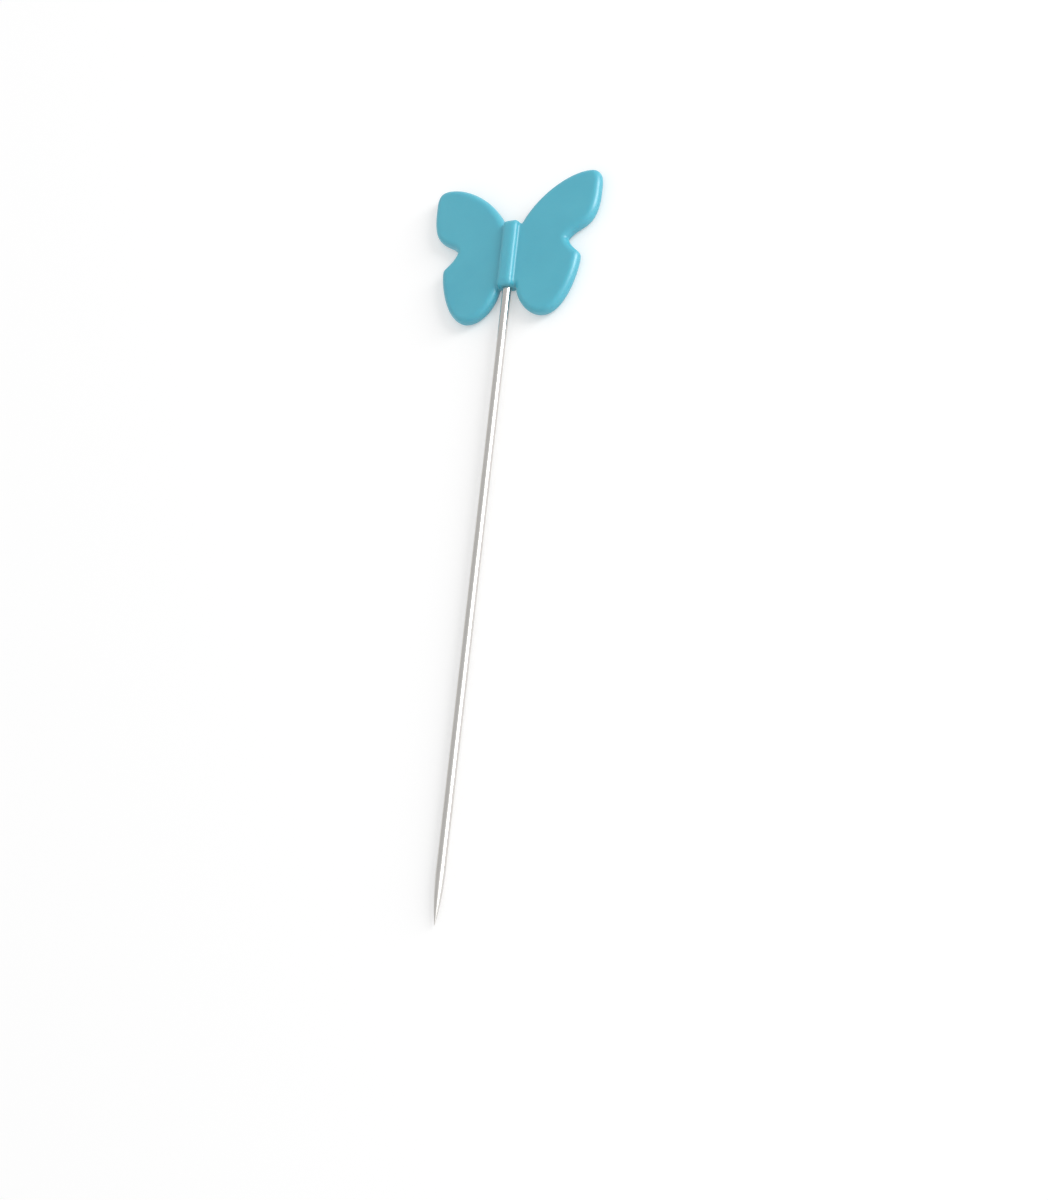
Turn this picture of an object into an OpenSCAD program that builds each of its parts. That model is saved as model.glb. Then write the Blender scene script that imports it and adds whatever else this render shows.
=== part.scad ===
// Straight pin with a flat butterfly head.
// A moulded plastic butterfly grips the blunt end of a drawn steel wire.
// All sizes are in millimetres. The pin is drawn as it lies on a table, with its rib up.
// It rests on the outer edges of the two wings and on the lower side of the wire near the point.
// The wire runs along Y with the point towards -Y, and the origin is under the middle of the whole pin.

/* [Wire] */
// Diameter of the drawn steel wire
wire_d = 0.7; // [0.5:0.05:0.8]
// Distance from the middle of the rib to the sharp point
point_reach = 52.3; // [35:0.5:65]
// Length of the ground point
point_l = 4.2; // [2:0.2:8]
// Diameter left at the very tip of the point
tip_d = 0.04; // [0.02:0.01:0.08]

/* [Wings] */
// Distance from the wire to the outermost edge of a forewing
fore_span = 6.9; // [6.2:0.1:8.5]
// Distance from the middle of the rib to the far edge of the forewings
fore_reach = 6.4; // [5.8:0.1:8]
// How far the crest of a forewing lies inside its outermost edge
crest_in = 1; // [0.8:0.1:1.4]
// How far the outermost edge of a forewing lies below its crest
side_drop = 1.8; // [1.4:0.1:2.2]
// Distance from the wire to the outermost edge of a hindwing
hind_span = 5.7; // [5.2:0.1:7]
// Distance from the middle of the rib to the near edge of the hindwings
hind_reach = 5.2; // [4.8:0.1:6.5]
// Distance from the wire to the lowest point of a hindwing
hind_end_x = 3.1; // [2.8:0.1:3.6]
// Distance from the wire to the bottom of the notch between the wings of one side
notch_x = 4.6; // [4.1:0.1:5]
// How far the notch lies from the middle of the rib, towards the forewings
notch_y = 0.9; // [0.6:0.1:1.4]
// Length of the shoulder from the notch to the outermost edge of a hindwing
shoulder_l = 1.5; // [1.2:0.1:2]
// Thickness of the moulded wings
wing_t = 1; // [0.8:0.05:1.4]
// Radius on the front and back edges of the wings
edge_r = 0.45; // [0.1:0.05:0.5]
// Angle that each wing is swept back from flat
sweep = 1.5; // [0:0.5:8]

/* [Rib] */
// Length of the rib along the wire
rib_l = 5.4; // [4.6:0.2:6.4]
// Width of the rib across its top
rib_w = 1.2; // [0.9:0.05:1.5]
// Height of the top of the rib above the middle of the wire
rib_top = 0.85; // [0.7:0.05:1.2]
// Height of the wing's front face above the middle of the wire
wing_front = 0.42; // [0.4:0.02:0.6]
// How far the rib stands out of the back of the wings
rib_back = 0.08; // [0.05:0.01:0.12]
// Radius of the fillet at the foot of the rib
fillet_r = 0.2; // [0.05:0.01:0.3]
// Radius on the top edges of the rib
crown_r = 0.24; // [0.05:0.01:0.3]
// Radius on the upright corners at the rib's ends
end_r = 0.26; // [0.1:0.02:0.34]
// Distance from the middle of the rib to the blind end of the hole for the wire
seat_reach = 1.9; // [1:0.1:2.2]

/* [Hidden] */
$fn = 48;
wire_r = wire_d / 2;
tip_r = tip_d / 2;
steel = "#b9b8b4";
teal = "#5fb1c8";

// Steps of each edge curve, and of each quarter of a rounded edge
curve_n = 11;
round_n = 3;

// A cubic curve from a to d with the handles b and c. Its last point is left to the next curve.
function bezier(a, b, c, d, n) = [
    for (i = [0:n - 1])
        let (t = i / n, s = 1 - t)
            s * s * s * a + 3 * s * s * t * b + 3 * s * t * t * c + t * t * t * d
];

// The corners of the right wing's outline, and the slopes of its edge there as handles.
// It starts over the wire at the head end and runs clockwise. The left wing is its mirror image.
web_x = rib_w / 2 + 0.11;
web_fore = [web_x, rib_l / 2 - 0.06];
web_hind = [web_x, 0.03 - rib_l / 2];
crest = [fore_span - crest_in, fore_reach];
fore_side = [fore_span, fore_reach - side_drop];
notch = [notch_x, notch_y];
hind_side = [hind_span, notch_y - shoulder_l];
hind_end = [hind_end_x, -hind_reach];
right_half = concat(
    [[0, web_fore[1]]],
    bezier(web_fore, web_fore + [1.04, 2.14], crest - [1.8, 0], crest, curve_n),
    bezier(crest, crest + [1.12 * crest_in, 0], fore_side + [0, 0.84], fore_side, curve_n),
    bezier(fore_side, fore_side - [0, 0.88 * (fore_side[1] - notch[1])], notch + [0.7, 1.08], notch, curve_n),
    bezier(notch, notch + [0.14, -0.73], hind_side + [0, 0.31], hind_side, curve_n),
    bezier(hind_side, hind_side - [0, 1.32], hind_end + [1.77, 0], hind_end, curve_n),
    bezier(hind_end, hind_end - [1.17, 0], web_hind + [0.2, -1.3], web_hind, curve_n),
    [web_hind, [0, web_hind[1]]]
);
half_n = len(right_half);
outline = concat(right_half, [for (i = [half_n - 2:-1:1]) [-right_half[i][0], right_half[i][1]]]);

// Outward direction of a clockwise outline at one of its corners, long enough to keep both walls' insets equal
function outward(p, i) =
    let (n = len(p))
    let (d1 = p[i] - p[(i + n - 1) % n], d2 = p[(i + 1) % n] - p[i])
    let (n1 = [-d1[1], d1[0]] / norm(d1), n2 = [-d2[1], d2[0]] / norm(d2))
    (n1 + n2) / max(0.6, 1 + n1 * n2);

// One ring of the wings' edge: the outline pulled in by an inset, at one height, falling away to both sides
function ring(p, inset, z) = [
    for (i = [0:len(p) - 1])
        let (q = p[i] - inset * outward(p, i))
            [q[0], q[1], z - abs(q[0]) * tan(sweep)]
];

// A place on the right wing from which its whole edge is seen
wing_hub = [0.36 * notch_x, 0.5 * notch_y];

// Rings of the wings from the front face down over both rounded edges to the back face
wing_back = wing_front - wing_t;
edge = min(edge_r, 0.46 * wing_t);
quarter = [for (k = [0:round_n]) 90 * k / round_n];
wing_rings = concat(
    [for (a = quarter) ring(outline, edge * (1 - sin(a)), wing_front - edge * (1 - cos(a)))],
    [for (a = quarter) ring(outline, edge * (1 - cos(a)), wing_back + edge * (1 - sin(a)))]
);

// A closed solid through rings of equal length. Both ends are capped in fans, one for each run of the
// ring's points: the place of its hub, and the numbers of its first and its last point.
module loft(rings, runs) {
    n = len(rings[0]);
    m = len(rings);
    sides = [
        for (k = [0:m - 2], i = [0:n - 1], h = [0, 1])
            let (a = k * n + i, b = k * n + (i + 1) % n)
                h == 0 ? [a, b + n, b] : [a, a + n, b + n]
    ];
    hubs = [for (r = runs, k = [0, m - 1]) [r[0], r[1], rings[k][0][2] - r[0] * sign(r[0]) * tan(sweep)]];
    caps = [
        for (j = [0:len(runs) - 1])
            let (first = runs[j][2], steps = runs[j][3] - first)
                for (i = [0:min(steps, n - 1)])
                    let (a = (first + i) % n, b = i == steps ? first : (first + i + 1) % n)
                        each [[m * n + 2 * j, a, b], [m * n + 2 * j + 1, (m - 1) * n + b, (m - 1) * n + a]]
    ];
    polyhedron(concat([for (r = rings) each r], hubs), concat(sides, caps));
}

// One ring of the rib: a bar of a given half width and half length with rounded corners
function bar(w, l, z) =
    let (c = min(end_r, w - 0.02))
    [
        for (q = [[1, 1, 90], [1, -1, 0], [-1, -1, -90], [-1, 1, -180]], k = [0:3])
            let (a = q[2] - 30 * k)
                [q[0] * (w - c) + c * cos(a), q[1] * (l - c) + c * sin(a), z]
    ];

// Rings of the rib from its top down: crown, side, front fillet, the part within the wings and the low back.
// The fillet ends just inside the front face, so that the face cuts its last step near the middle. It runs
// out at both ends of the rib, where the edge of the wings is rounded.
side_w = rib_w / 2 + 0.04;
half_l = rib_l / 2;
crown = min(crown_r, 0.54 * (rib_top - wing_front));
fillet = min(fillet_r, 0.46 * (rib_top - wing_front));
foot_z = wing_front - (side_w + 0.75 * fillet) * tan(sweep) - fillet / 15;
rib_bottom = wing_back - rib_back;
rib_rings = concat(
    [
        for (a = quarter)
            bar(rib_w / 2 - crown * (1 - sin(a)), half_l - 1.5 * crown * (1 - sin(a)), rib_top - crown * (1 - cos(a)))
    ],
    [
        for (a = quarter)
            bar(side_w + fillet * (1 - cos(a)), half_l - edge * (1 - cos(a)), foot_z + fillet * (1 - sin(a)))
    ],
    [
        bar(side_w, half_l, foot_z - fillet),
        bar(side_w, half_l, wing_back + 0.05),
        bar(rib_w / 2, half_l - 0.04, wing_back - rib_back / 3),
        bar(rib_w / 2 - crown, half_l - crown, rib_bottom)
    ]
);

// Profile of the wire's point: half diameter against distance from the tip, on a long arc
arc_r = (point_l * point_l + (wire_r - tip_r) * (wire_r - tip_r)) / (2 * (wire_r - tip_r));
point_n = 10;
point_profile = [
    for (k = [0:point_n])
        let (s = point_l * k / point_n)
            [sqrt(arc_r * arc_r - (point_l - s) * (point_l - s)) + wire_r - arc_r, s]
];

// Lowest part of the swept wings and of the wire for a slope of the whole pin
swept = [for (r = wing_rings, p = r) [p[1], p[2]]];
function head_low(slope) = min([for (p = swept) p[0] * sin(slope) + p[1] * cos(slope)]);
function wire_low(slope) = min([for (p = point_profile) (p[1] - point_reach) * sin(slope) - p[0] * cos(slope)]);
function level(a, b, n) =
    let (m = (a + b) / 2)
    n == 0 ? m : wire_low(m) > head_low(m) ? level(m, b, n - 1) : level(a, m, n - 1);
slope = level(-5, 10, 30);
lift = -head_low(slope);
far_y = max([for (p = swept) p[0] * cos(slope) - p[1] * sin(slope)]);
near_y = -point_reach * cos(slope) - tip_r * sin(slope);
shift = -(far_y + near_y) / 2;

// Lays a piece down as the pin comes to rest
module at_rest() {
    translate([0, shift, lift])
        rotate([slope, 0, 0])
            children();
}

// Drawn wire, cut square at its blunt end and ground to a long point at the other
module pin_shaft() {
    color(steel)
        at_rest()
            translate([0, -point_reach, 0])
                rotate([-90, 0, 0])
                    rotate_extrude()
                        polygon(concat([[0, 0]], point_profile, [
                            [wire_r, point_reach + seat_reach],
                            [0, point_reach + seat_reach]
                        ]));
}

// Hole that the wire leaves in the plastic moulded round it
module wire_seat() {
    translate([0, seat_reach, 0])
        rotate([90, 0, 0])
            cylinder(r = wire_r, h = seat_reach + hind_reach);
}

// Two wings and the rib in one moulding
module butterfly_head() {
    color(teal)
        at_rest()
            difference() {
                union() {
                    loft(wing_rings, [
                        [wing_hub[0], wing_hub[1], 0, half_n - 1],
                        [-wing_hub[0], wing_hub[1], half_n - 1, 2 * half_n - 2]
                    ]);
                    loft(rib_rings, [[0, 0, 0, len(rib_rings[0])]]);
                }
                wire_seat();
            }
}

pin_shaft();
butterfly_head();
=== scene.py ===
from math import cos, radians, sin, sqrt, tan

import bpy
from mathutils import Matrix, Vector


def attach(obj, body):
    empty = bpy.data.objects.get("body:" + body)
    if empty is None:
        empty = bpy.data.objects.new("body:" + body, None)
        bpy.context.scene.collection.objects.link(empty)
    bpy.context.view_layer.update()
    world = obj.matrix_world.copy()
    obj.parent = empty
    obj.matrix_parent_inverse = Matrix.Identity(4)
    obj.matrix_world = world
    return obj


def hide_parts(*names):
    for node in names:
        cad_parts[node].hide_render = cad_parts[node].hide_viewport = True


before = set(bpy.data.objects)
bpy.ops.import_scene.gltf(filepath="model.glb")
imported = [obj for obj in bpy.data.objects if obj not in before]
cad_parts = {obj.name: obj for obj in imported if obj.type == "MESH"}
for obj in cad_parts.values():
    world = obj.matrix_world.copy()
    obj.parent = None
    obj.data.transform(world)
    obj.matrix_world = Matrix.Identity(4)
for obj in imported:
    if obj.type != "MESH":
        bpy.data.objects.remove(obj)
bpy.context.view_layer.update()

# The wire. A real pin's shaft is steel wire, drawn through a die to its size, cut, and ground to a
# long point on a wheel while it spins. It is tumbled bright and plated with a thin coat of nickel.
# The blunt end sits in the head, which is moulded round it.

# Both pieces are drawn in millimetres along the wire's own line, with the middle of the head's rib
# at the origin and the point towards -Y.
WIRE_R = 0.35
POINT_REACH = 52.3
POINT_L = 4.2
TIP_R = 0.02
SEAT_REACH = 1.9

# Sides round the wire, and steps along its point and its shaft
WIRE_SIDES = 64
POINT_STEPS = 24
SHAFT_STEPS = 40

# How the pin lies when it is put down, on the wings' outer edges and near its point, in metres
LAID_AT = (0, 0.0229482, 0.000728346)
LAID_SLOPE = (radians(0.450667), 0, 0)
MILLIMETRES = (0.001, 0.001, 0.001)


def nothing_selected():
    """Leaves edit mode and clears the selection."""
    if bpy.context.object and bpy.context.object.mode != "OBJECT":
        bpy.ops.object.mode_set(mode="OBJECT")
    bpy.ops.object.select_all(action="DESELECT")


def draw_out(sections, centre):
    """Extrudes the selected end face through sections, each a move and a scaling about a centre."""
    centre = Vector(centre)
    for move, scale in sections:
        centre = centre + Vector(move)
        bpy.ops.mesh.extrude_region_move(TRANSFORM_OT_translate={"value": move})
        bpy.ops.transform.resize(value=scale, center_override=centre)


def lay_down(piece):
    """Puts a piece drawn in millimetres into its place in metres, as part of its mesh."""
    nothing_selected()
    piece.select_set(True)
    bpy.context.view_layer.objects.active = piece
    piece.location = LAID_AT
    piece.rotation_euler = LAID_SLOPE
    piece.scale = MILLIMETRES
    bpy.ops.object.transform_apply(location=True, rotation=True, scale=True)


nothing_selected()
bpy.ops.mesh.primitive_circle_add(
    vertices=WIRE_SIDES,
    radius=TIP_R,
    fill_type="NGON",
    location=(0, -POINT_REACH, 0),
    rotation=(radians(90), 0, 0),
)
wire = bpy.context.object
wire.name = "drawn_wire"
bpy.ops.object.transform_apply(location=True, rotation=True, scale=True)
bpy.ops.object.mode_set(mode="EDIT")
bpy.ops.mesh.select_all(action="SELECT")

# The ground point swells on one long arc from the tip to the full wire, in steps that are finer
# towards the tip
arc_r = (POINT_L**2 + (WIRE_R - TIP_R) ** 2) / (2 * (WIRE_R - TIP_R))
steps = [POINT_L * (k / POINT_STEPS) ** 1.5 for k in range(POINT_STEPS + 1)]
radii = [sqrt(arc_r**2 - (POINT_L - s) ** 2) + WIRE_R - arc_r for s in steps]
sections = []
for k in range(1, POINT_STEPS + 1):
    swell = radii[k] / radii[k - 1]
    sections.append(((0, steps[k] - steps[k - 1], 0), (swell, 1, swell)))
shaft_l = POINT_REACH - POINT_L + SEAT_REACH
sections += [((0, shaft_l / SHAFT_STEPS, 0), (1, 1, 1))] * SHAFT_STEPS
draw_out(sections, (0, -POINT_REACH, 0))
bpy.ops.mesh.select_all(action="SELECT")
bpy.ops.mesh.normals_make_consistent(inside=False)
lay_down(wire)
bpy.ops.object.shade_smooth_by_angle(angle=radians(35))


def srgb(text):
    """A colour written as sRGB hex, as the linear values that a shader takes."""
    values = [int(text[i : i + 2], 16) / 255 for i in (1, 3, 5)]
    linear = [v / 12.92 if v <= 0.04045 else ((v + 0.055) / 1.055) ** 2.4 for v in values]
    return (*linear, 1.0)


def new_material(name):
    """An empty node material."""
    material = bpy.data.materials.new(name)
    material.use_nodes = True
    material.node_tree.nodes.clear()
    return material


def add_node(material, kind, into=(), **settings):
    """Adds a node. Its inputs go by name or number, each with a value or a socket to link from."""
    node = material.node_tree.nodes.new("ShaderNode" + kind)
    for name, value in settings.items():
        setattr(node, name, value)
    for name, value in dict(into).items():
        if isinstance(value, bpy.types.NodeSocket):
            material.node_tree.links.new(value, node.inputs[name])
        else:
            node.inputs[name].default_value = value
    return node


def drawn_place(material):
    """Places on a piece in the millimetres it was drawn in, along the wire's own line."""
    place = add_node(material, "TexCoord").outputs["Object"]
    laid = {"Vector": place, "Location": LAID_AT, "Rotation": LAID_SLOPE, "Scale": MILLIMETRES}
    return add_node(material, "Mapping", laid, vector_type="TEXTURE").outputs[0]


def add_noise(material, vector, scale, detail, roughness=0.5, distortion=0.0):
    """Noise over a place, from 0 to 1."""
    pattern = {
        "Vector": vector,
        "Scale": scale,
        "Detail": detail,
        "Roughness": roughness,
        "Distortion": distortion,
    }
    return add_node(material, "TexNoise", pattern).outputs[0]


def add_bump(material, height, strength, depth, over=None):
    """A bump with a depth in metres, laid over another one where one is given."""
    relief = {"Height": height, "Strength": strength, "Distance": depth}
    if over is not None:
        relief["Normal"] = over
    return add_node(material, "Bump", relief).outputs[0]


def ramp(material, value, source, target, curve="LINEAR"):
    """Turns one range of a value into another, and holds it at the ends."""
    ends = {0: value, 1: source[0], 2: source[1], 3: target[0], 4: target[1]}
    return add_node(material, "MapRange", ends, interpolation_type=curve).outputs[0]


def calculate(material, operation, first, second):
    """The result of one operation on two values."""
    return add_node(material, "Math", {0: first, 1: second}, operation=operation).outputs[0]


def mix_colours(material, share, first, second):
    """A blend of two colours by the share of the second."""
    return add_node(material, "Mix", {0: share, 6: first, 7: second}, data_type="RGBA").outputs[2]


# Nickel plated steel, drawn and tumbled. The die leaves fine lines along the wire, and the plating
# turns them into a bright, slightly drawn-out shine. The ground point is a little duller, with
# rings round it from the wheel. Real draw lines and rings are about 0.01 mm apart, so they are
# drawn coarser here, at about 0.15 mm and 0.1 mm, to show at all.
nickel = new_material("nickel_plated_steel")
along = drawn_place(nickel)
drawn = add_node(nickel, "Mapping", {"Vector": along, "Scale": (1, 0.012, 1)}).outputs[0]
draw_lines = add_noise(nickel, drawn, 6.5, 2.0)
ground = add_node(nickel, "Mapping", {"Vector": along, "Scale": (0.35, 1, 0.35)}).outputs[0]
grind_lines = add_noise(nickel, ground, 9.0, 4.0, roughness=0.65)
clouds = add_noise(nickel, along, 0.45, 2.0)

point_start = POINT_L - POINT_REACH
reach = add_node(nickel, "SeparateXYZ", {"Vector": along}).outputs["Y"]
in_point = ramp(nickel, reach, (point_start - 0.5, point_start + 0.1), (1.0, 0.0), "SMOOTHSTEP")
lines = add_node(nickel, "Mix", {0: in_point, 2: draw_lines, 3: grind_lines}).outputs[0]
shine = ramp(nickel, lines, (0.3, 0.7), (0.18, 0.24))
duller = ramp(nickel, in_point, (0.0, 1.0), (0.0, 0.09))
cloudy = ramp(nickel, clouds, (0.35, 0.7), (0.0, 0.05))
roughness = calculate(nickel, "ADD", shine, duller)
roughness = calculate(nickel, "ADD", roughness, cloudy)
metal = add_node(
    nickel,
    "BsdfPrincipled",
    {
        "Base Color": mix_colours(nickel, clouds, srgb("#dddbd8"), srgb("#d2cfcb")),
        "Metallic": 1.0,
        "Roughness": roughness,
        "Normal": add_bump(nickel, lines, 0.05, 0.00001),
    },
)
add_node(nickel, "OutputMaterial", {"Surface": metal.outputs[0]})
wire.data.materials.append(nickel)

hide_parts("pin_shaft")
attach(wire, "root")

# The head. One injection moulding of coloured polypropylene: two flat wings about 1 mm thick and a
# raised rib between them that holds the wire. The mould is filled round the wire, so nothing else
# fastens it. Its edges are rounded and its faces are satin, as the finely blasted mould left them.

FORE_SPAN = 6.9
FORE_REACH = 6.4
CREST_IN = 1.0
SIDE_DROP = 1.8
HIND_SPAN = 5.7
HIND_REACH = 5.2
HIND_END_X = 3.1
NOTCH = (4.6, 0.9)
SHOULDER_L = 1.59
SHOULDER_R = 0.5
SHOULDER_TURN = radians(46)
WING_T = 1.0
EDGE_R = 0.45
SWEEP = radians(1.5)

RIB_L = 5.4
RIB_W = 1.2
RIB_TOP = 0.85
WING_FRONT = 0.42
RIB_BACK = 0.08
BACK_IN = 0.23
CROWN_H = 0.29
CROWN_W = 0.42
CROWN_L = 0.6
FILLET_R = 0.03
END_R = 0.26

# How far the foot of the rib lies outside its top, and how far its front fillet and its low back
# start inside the wings
FOOT_OUT = 0.04
FOOT_SINK = 0.035
BACK_SINK = 0.05

# Where the edges of a wing run into the rib: how far out from its side and in from its two ends
WEB_OUT = 0.11
WEB_FORE_IN = 0.06
WEB_HIND_IN = 0.03

# How far each wing runs on past the wire, so that the two wings and the rib lap well
LAP = 0.45

# How far the hole's wall lies from the wire, and how far its cutter runs past the rib's middle
HOLE_GAP = 0.012
HOLE_RUN = 4

# The right wing's edge as a flat curve: each point with the handle before it and the one after it
root = RIB_W / 2
web_fore = (root + WEB_OUT, RIB_L / 2 - WEB_FORE_IN)
web_hind = (root + WEB_OUT, WEB_HIND_IN - RIB_L / 2)
crest = (FORE_SPAN - CREST_IN, FORE_REACH)
fore_side = (FORE_SPAN, FORE_REACH - SIDE_DROP)
hind_side = (HIND_SPAN, NOTCH[1] - SHOULDER_L)

# The shoulder turns into the hindwing's side on an arc, which asks for a set length of its handles.
# The handle before it only keeps its direction.
turn_x, turn_y = cos(SHOULDER_TURN), sin(SHOULDER_TURN)
shoulder = (hind_side[0] - SHOULDER_R * (1 - turn_x), hind_side[1] + SHOULDER_R * turn_y)
pull = SHOULDER_R * 4 / 3 * tan(SHOULDER_TURN / 4)
lead = 0.316
edge = [
    ((-LAP, web_fore[1]), (0, 0), (0, 0)),
    (web_fore, (0, 0), (1.04, 2.14)),
    (crest, (-1.8, 0), (1.12 * CREST_IN, 0)),
    (fore_side, (0, 0.84), (0, 0.88 * (NOTCH[1] - fore_side[1]))),
    (NOTCH, (0.7, 1.08), (0.1, -0.54)),
    (shoulder, (-lead * turn_y, lead * turn_x), (pull * turn_y, -pull * turn_x)),
    (hind_side, (0, pull), (0, -1.19)),
    ((HIND_END_X, -HIND_REACH), (1.77, 0), (-1.17, 0)),
    (web_hind, (0.2, -1.3), (0, 0)),
    ((-LAP, web_hind[1]), (0, 0), (0, 0)),
]
nothing_selected()
bpy.ops.curve.primitive_bezier_curve_add(location=(0, 0, 0))
wing = bpy.context.object
wing.data.dimensions = "2D"
spline = wing.data.splines[0]
spline.bezier_points.add(len(edge) - 2)
for point, (at, before, after) in zip(spline.bezier_points, edge):
    point.handle_left_type = point.handle_right_type = "FREE"
    point.co = (at[0], at[1], 0)
    point.handle_left = (at[0] + before[0], at[1] + before[1], 0)
    point.handle_right = (at[0] + after[0], at[1] + after[1], 0)
spline.use_cyclic_u = True
wing.data.resolution_u = 24
wing.data.fill_mode = "BOTH"
wing.data.extrude = WING_T / 2 - EDGE_R
wing.data.bevel_depth = EDGE_R
wing.data.bevel_resolution = 6
wing.data.offset = -EDGE_R
bpy.ops.object.convert(target="MESH")
wing = bpy.context.object
bpy.ops.object.mode_set(mode="EDIT")
bpy.ops.mesh.select_all(action="SELECT")
bpy.ops.mesh.remove_doubles(threshold=0.0005)
bpy.ops.transform.translate(value=(0, 0, WING_FRONT - WING_T / 2))
bpy.ops.mesh.normals_make_consistent(inside=False)
bpy.ops.object.mode_set(mode="OBJECT")

# The right wing is swept back from the rib, and the left wing is its mirror image
wing.rotation_euler = (0, SWEEP, 0)
bpy.ops.object.transform_apply(location=True, rotation=True, scale=True)
bpy.ops.object.duplicate()
left_wing = bpy.context.object
left_wing.scale = (-1, 1, 1)
bpy.ops.object.transform_apply(location=True, rotation=True, scale=True)
bpy.ops.object.mode_set(mode="EDIT")
bpy.ops.mesh.select_all(action="SELECT")
bpy.ops.mesh.normals_make_consistent(inside=False)

# The rib is a bar drawn up through its foot fillet and its domed crown, and down to its low back.
# Each of its rings is a half width, a half length and a height.
quarter = [radians(15 * k) for k in range(7)]
side_w = root + FOOT_OUT
half_l = RIB_L / 2
wing_back = WING_FRONT - WING_T
foot_z = WING_FRONT - FOOT_SINK
upper = [(side_w, half_l, foot_z - FILLET_R)]
upper += [
    (
        side_w + FILLET_R * (1 - sin(a)),
        half_l - EDGE_R * (1 - sin(a)),
        foot_z + FILLET_R * (1 - cos(a)),
    )
    for a in quarter
]
upper += [
    (
        root - CROWN_W * (1 - cos(a)),
        half_l - CROWN_L * (1 - cos(a)),
        RIB_TOP - CROWN_H * (1 - sin(a)),
    )
    for a in quarter
]
lower = [
    (side_w, half_l, wing_back + BACK_SINK),
    (root, half_l - FOOT_OUT, wing_back - RIB_BACK / 3),
    (root - BACK_IN, half_l - BACK_IN, wing_back - RIB_BACK),
]
nothing_selected()
bpy.ops.mesh.primitive_cube_add(
    size=1,
    location=(0, 0, (upper[0][2] + lower[0][2]) / 2),
    scale=(2 * side_w, RIB_L, upper[0][2] - lower[0][2]),
)
rib = bpy.context.object
rib.name = "rib"
bpy.ops.object.transform_apply(location=True, rotation=True, scale=True)


def select_where(piece, test, kind="polygons"):
    """Selects the faces or edges of a piece that pass a test, and opens edit mode."""
    bpy.ops.object.mode_set(mode="EDIT")
    bpy.ops.mesh.select_mode(type="FACE" if kind == "polygons" else "EDGE")
    bpy.ops.mesh.select_all(action="DESELECT")
    bpy.ops.object.mode_set(mode="OBJECT")
    for part in getattr(piece.data, kind):
        part.select = test(part)
    bpy.ops.object.mode_set(mode="EDIT")


def upright(part):
    """Is this edge of the rib one of its upright corners?"""
    a, b = (rib.data.vertices[i].co for i in part.vertices)
    return abs(a.z - b.z) > 0.1


select_where(rib, upright, "edges")
bpy.ops.mesh.bevel(offset=END_R, segments=6, affect="EDGES")
for rings, side in ((upper, 1), (lower, -1)):
    select_where(rib, lambda part: part.normal.z * side > 0.9)
    sections = []
    for low, high in zip(rings, rings[1:]):
        sections.append(((0, 0, high[2] - low[2]), (high[0] / low[0], high[1] / low[1], 1)))
    draw_out(sections, (0, 0, rings[0][2]))
bpy.ops.mesh.select_all(action="SELECT")
bpy.ops.mesh.normals_make_consistent(inside=False)

# The hole that the wire fills, drawn a hair wider so that the two pieces don't cut each other
nothing_selected()
bpy.ops.mesh.primitive_cylinder_add(
    vertices=WIRE_SIDES,
    radius=WIRE_R + HOLE_GAP,
    depth=SEAT_REACH + HOLE_RUN,
    location=(0, (SEAT_REACH - HOLE_RUN) / 2, 0),
    rotation=(radians(90), 0, 0),
)
seat = bpy.context.object
seat.name = "wire_seat"
bpy.ops.object.transform_apply(location=True, rotation=True, scale=True)


def finish_with(piece, kind, **settings):
    """Adds a modifier with its settings to a piece and applies it."""
    nothing_selected()
    piece.select_set(True)
    bpy.context.view_layer.objects.active = piece
    modifier = piece.modifiers.new("step", kind)
    for name, value in settings.items():
        setattr(modifier, name, value)
    bpy.ops.object.modifier_apply(modifier=modifier.name)


# The wings and the rib melt into one even skin, with every corner a little soft, as moulded
nothing_selected()
for part in (left_wing, rib, wing):
    part.select_set(True)
bpy.context.view_layer.objects.active = wing
bpy.ops.object.join()
head = wing
head.name = "moulded_butterfly"
finish_with(head, "REMESH", mode="VOXEL", voxel_size=0.06, use_smooth_shade=True)
finish_with(head, "SMOOTH", factor=0.5, iterations=5)
finish_with(head, "BOOLEAN", operation="DIFFERENCE", object=seat, solver="EXACT")
bpy.data.objects.remove(seat)
lay_down(head)
bpy.ops.object.shade_smooth_by_angle(angle=radians(50))

# Injection moulded polypropylene, coloured right through. It is a waxy, slightly cloudy plastic, so
# light spreads a little inside and thin edges look paler. The mould gives it a satin face with a
# very fine grain and faint flow shades, and handling scuffs it lightly. The grain is about 0.02 mm
# in truth and is drawn at about 0.08 mm to show. Its shine is set to twice what its index gives,
# so that a lamp lights up its edges.
teal = new_material("moulded_polypropylene")
own = drawn_place(teal)
flow = add_noise(teal, own, 0.22, 3.0, distortion=0.6)
grain = add_noise(teal, own, 12.0, 3.0, roughness=0.6)
waves = add_noise(teal, own, 0.8, 1.0)
rubbing = {"Vector": own, "Rotation": (0, 0, radians(38)), "Scale": (0.5, 7.0, 1.0)}
rubbed = add_node(teal, "Mapping", rubbing).outputs[0]
scuffs = add_noise(teal, rubbed, 1.0, 4.0, roughness=0.55)
satin = ramp(teal, grain, (0.3, 0.7), (0.34, 0.4))
dulled = ramp(teal, scuffs, (0.6, 0.72), (0.0, 0.12))
fine = add_bump(teal, grain, 0.1, 0.00002)
soft = add_bump(teal, waves, 0.15, 0.00015, fine)

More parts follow.
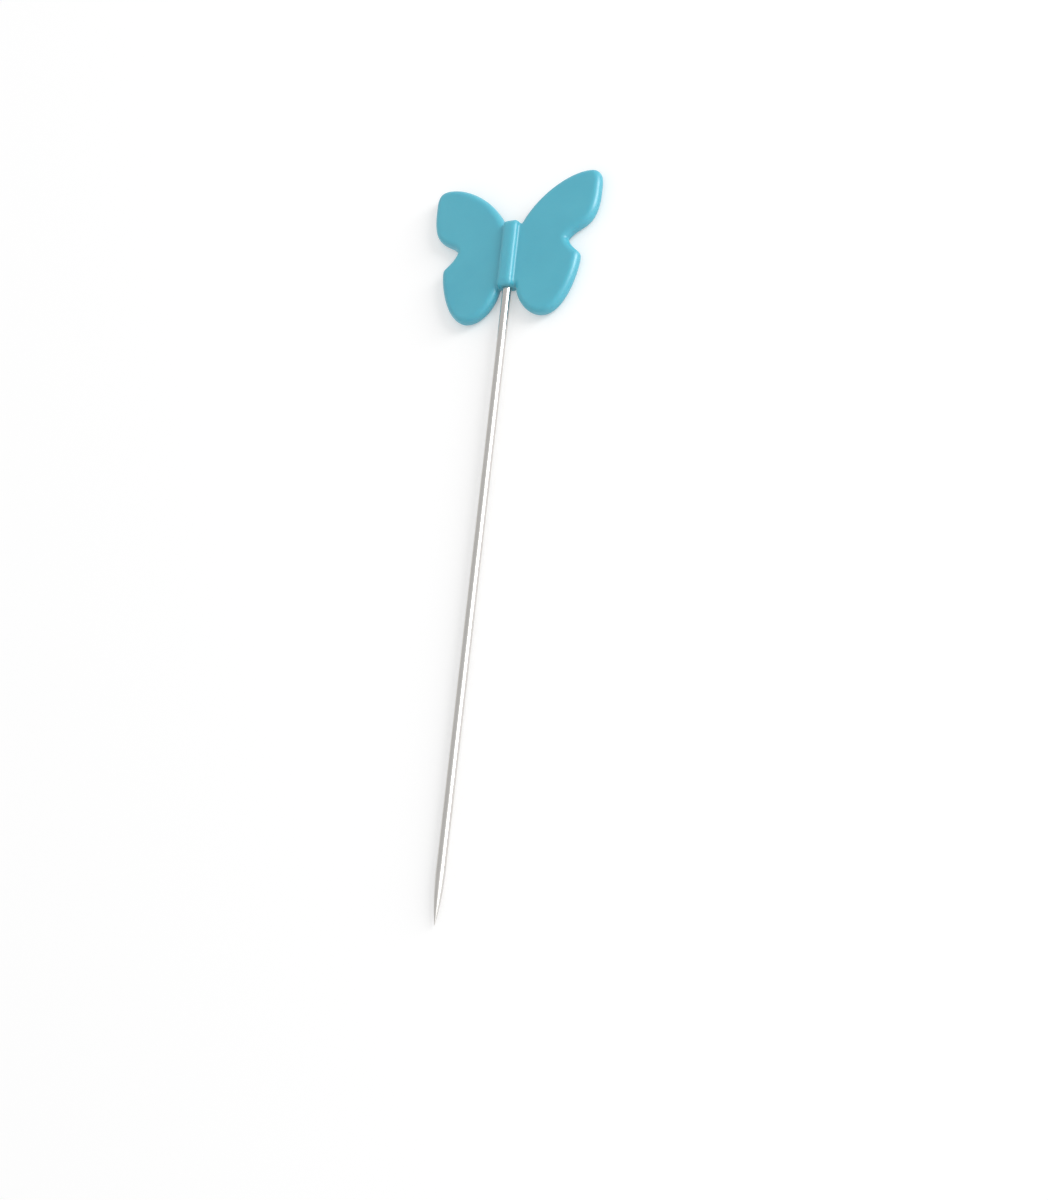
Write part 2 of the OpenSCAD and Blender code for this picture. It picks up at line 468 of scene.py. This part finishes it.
# The ejector pin's mark: a round foot 1.2 mm wide, sunk a little into the back of each forewing
EJECTOR_AT = (4.1, 3.3, 0)
EJECTOR_R = 0.6
EJECTOR_RIM = 0.04
BACK_HEIGHT = -0.2
split = add_node(teal, "SeparateXYZ", {"Vector": own})
across = add_node(teal, "Math", {0: split.outputs["X"]}, operation="ABSOLUTE")
folded = add_node(teal, "CombineXYZ", {"X": across.outputs[0], "Y": split.outputs["Y"]})
away = add_node(teal, "VectorMath", {0: folded.outputs[0], 1: EJECTOR_AT}, operation="DISTANCE")
rim = (EJECTOR_R - EJECTOR_RIM, EJECTOR_R + EJECTOR_RIM)
outside = ramp(teal, away.outputs["Value"], rim, (0.0, 1.0), "SMOOTHSTEP")
front = calculate(teal, "GREATER_THAN", split.outputs["Z"], BACK_HEIGHT)
level = calculate(teal, "MAXIMUM", outside, front)
plastic = add_node(
    teal,
    "BsdfPrincipled",
    {
        "Base Color": mix_colours(teal, flow, srgb("#46aec4"), srgb("#55bccf")),
        "Metallic": 0.0,
        "IOR": 1.49,
        "Specular IOR Level": 1.0,
        "Roughness": calculate(teal, "ADD", satin, dulled),
        "Subsurface Weight": 0.5,
        "Subsurface Radius": (0.4, 0.9, 1.0),
        "Subsurface Scale": 0.0008,
        "Normal": add_bump(teal, level, 0.8, 0.00004, soft),
    },
)
add_node(teal, "OutputMaterial", {"Surface": plastic.outputs[0]})
head.data.materials.clear()
head.data.materials.append(teal)

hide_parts("butterfly_head")
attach(head, "root")

# The table that the pin lies on: a plain white sheet, seen as pure white where the light falls and
# keeping the soft shadow of the pin.

WHITE = (1, 1, 1, 1)


def looked_at(material):
    """Is this surface seen, by itself or in a shiny or clear one, and not only lighting others?"""
    path = add_node(material, "LightPath")
    rays = path.outputs["Is Camera Ray"]
    for kind in ("Is Glossy Ray", "Is Transmission Ray"):
        rays = calculate(material, "MAXIMUM", rays, path.outputs[kind])
    return rays


nothing_selected()
bpy.ops.mesh.primitive_plane_add(size=4, location=(0, 0, 0))
table = bpy.context.object
table.name = "white_table"
paper = new_material("matt_white_paper")
lit = add_node(paper, "BsdfDiffuse", {"Color": srgb("#e6e6e6")})
glow = add_node(paper, "Emission", {"Color": WHITE, "Strength": 0.3})
bright = add_node(paper, "AddShader", {0: lit.outputs[0], 1: glow.outputs[0]})
shown = add_node(paper, "MixShader", {0: looked_at(paper), 1: lit.outputs[0], 2: bright.outputs[0]})
add_node(paper, "OutputMaterial", {"Surface": shown.outputs[0]})
table.data.materials.append(paper)

# The studio: an even white dome, and one narrow softbox low on the right, a little behind the head.
# The dome's reflection is greyer away from the lamp, as a room with one window is.

studio = bpy.data.worlds.new("studio")
bpy.context.scene.world = studio
studio.use_nodes = True
studio.node_tree.nodes.clear()
seen_from = add_node(studio, "TexCoord").outputs["Generated"]
direction = add_node(studio, "SeparateXYZ", {"Vector": seen_from})
to_lamp = ramp(studio, direction.outputs["X"], (0.05, 0.6), (0.64, 1.0), "SMOOTHSTEP")
wall = ramp(studio, direction.outputs["Z"], (0.03, 0.2), (1.0, to_lamp), "SMOOTHSTEP")
dome = add_node(studio, "Background", {"Color": WHITE, "Strength": 0.7})
reflected = add_node(studio, "Background", {"Color": WHITE, "Strength": wall})
halves = {0: looked_at(studio), 1: dome.outputs[0], 2: reflected.outputs[0]}
room = add_node(studio, "MixShader", halves)
add_node(studio, "OutputWorld", {"Surface": room.outputs[0]})

LAMP_AWAY = 0.5
toward = Vector((0.83, 0.37, 0.37)).normalized()
nothing_selected()
bpy.ops.object.light_add(type="AREA")
softbox = bpy.context.object
softbox.name = "key_softbox"
softbox.data.shape = "RECTANGLE"
softbox.data.size = 0.2
softbox.data.size_y = 0.34
softbox.data.energy = 1.5
softbox.location = LAMP_AWAY * toward
softbox.rotation_euler = toward.to_track_quat("Z", "Y").to_euler()

# The camera looks down on the pin through a long lens, from in front of its point and from the
# right, with the whole pin in the frame.

bpy.ops.object.camera_add(
    location=(0.129169, -0.11178, 0.222721),
    rotation=(radians(25.813), radians(26.685), radians(6.6659)),
)
camera = bpy.context.object
camera.data.lens = 116.58
camera.data.clip_start = 0.01
bpy.context.scene.camera = camera

bpy.context.scene.view_settings.view_transform = "Standard"

nothing_selected()
